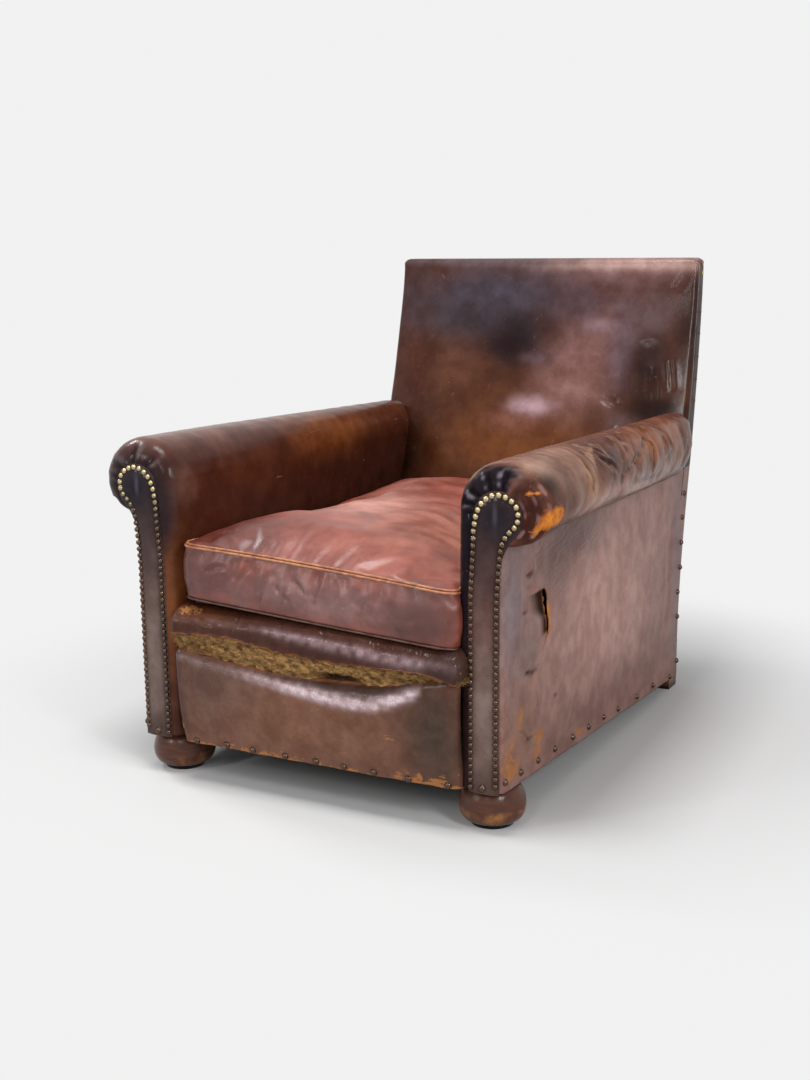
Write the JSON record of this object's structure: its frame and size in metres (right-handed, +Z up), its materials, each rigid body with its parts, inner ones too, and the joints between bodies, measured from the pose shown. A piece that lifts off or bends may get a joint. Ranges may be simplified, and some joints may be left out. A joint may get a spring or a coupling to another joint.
{
  "type": "club chair",
  "caption": "Low armchair with scroll arms, a raked back, a loose seat cushion and bun front feet, in worn, torn leather.",
  "frame": {"origin": "on the floor under the middle of the chair's bounding box", "axes": "+X to the right seen from the front, +Y from the front roll towards the back, +Z up"},
  "size_m": [0.7698, 0.9838, 0.8],
  "materials": {
    "worn_leather": "old waxed hide, dark brown, rubbed to orange-tan and grey, creased, satin to glossy",
    "cushion_leather": "red-brown hide, semi-gloss, creased along its edges",
    "piping_leather": "tan cord piping, rubbed",
    "stained_wood": "turned hardwood, dark stain and old polish, rubbed to tan on the high places",
    "beech_frame": "plain sawn beech",
    "coir": "matted coarse fibre, straw brown",
    "horsehair": "curled hair, matted",
    "jute_webbing": "plain woven jute",
    "lining_cloth": "thin black lining",
    "spring_wire": "dull copper-washed steel wire",
    "nail_brass": "domed nails, aged brass, bright only on the scrolls"
  },
  "bodies": {
    "root": {"arm_leather_left": "worn_leather", "arm_leather_right": "worn_leather", "arm_post_left": "beech_frame", "arm_post_right": "beech_frame", "arm_rail_left": "beech_frame", "arm_rail_right": "beech_frame", "arm_stuffing_left": "horsehair", "arm_stuffing_right": "horsehair", "back_lower_rail": "beech_frame", "back_stuffing": "horsehair", "back_top_rail": "beech_frame", "back_web_1": "jute_webbing", "back_web_2": "jute_webbing", "back_web_3": "jute_webbing", "bottom_cloth": "lining_cloth", "corner_block_front_left": "beech_frame", "corner_block_front_right": "beech_frame", "corner_block_rear_left": "beech_frame", "corner_block_rear_right": "beech_frame", "cushion_piping_bottom": "piping_leather", "cushion_piping_top": "piping_leather", "facing_left": "worn_leather", "facing_right": "worn_leather", "front_border_leather": "worn_leather", "front_border_stuffing": "horsehair", "front_foot_left": "stained_wood", "front_foot_right": "stained_wood", "front_rail": "beech_frame", "front_roll_leather": "worn_leather", "front_roll_stuffing": "coir", "inside_back_leather": "worn_leather", "outside_arm_leather_left": "worn_leather", "outside_arm_leather_right": "worn_leather", "outside_back_leather": "worn_leather", "rear_leg_post_left": "stained_wood", "rear_leg_post_right": "stained_wood", "rear_rail": "beech_frame", "seat_cushion": "cushion_leather", "seat_platform_cover": "lining_cloth", "seat_spring_1": "spring_wire", "seat_spring_2": "spring_wire", "seat_spring_3": "spring_wire", "seat_spring_4": "spring_wire", "seat_spring_5": "spring_wire", "seat_spring_6": "spring_wire", "seat_spring_7": "spring_wire", "seat_spring_8": "spring_wire", "seat_spring_9": "spring_wire", "seat_stuffing": "horsehair", "seat_web_cross_1": "jute_webbing", "seat_web_cross_2": "jute_webbing", "seat_web_cross_3": "jute_webbing", "seat_web_long_1": "jute_webbing", "seat_web_long_2": "jute_webbing", "seat_web_long_3": "jute_webbing", "side_rail_left": "beech_frame", "side_rail_right": "beech_frame", "spring_canvas": "jute_webbing"}
  },
  "joints": []
}
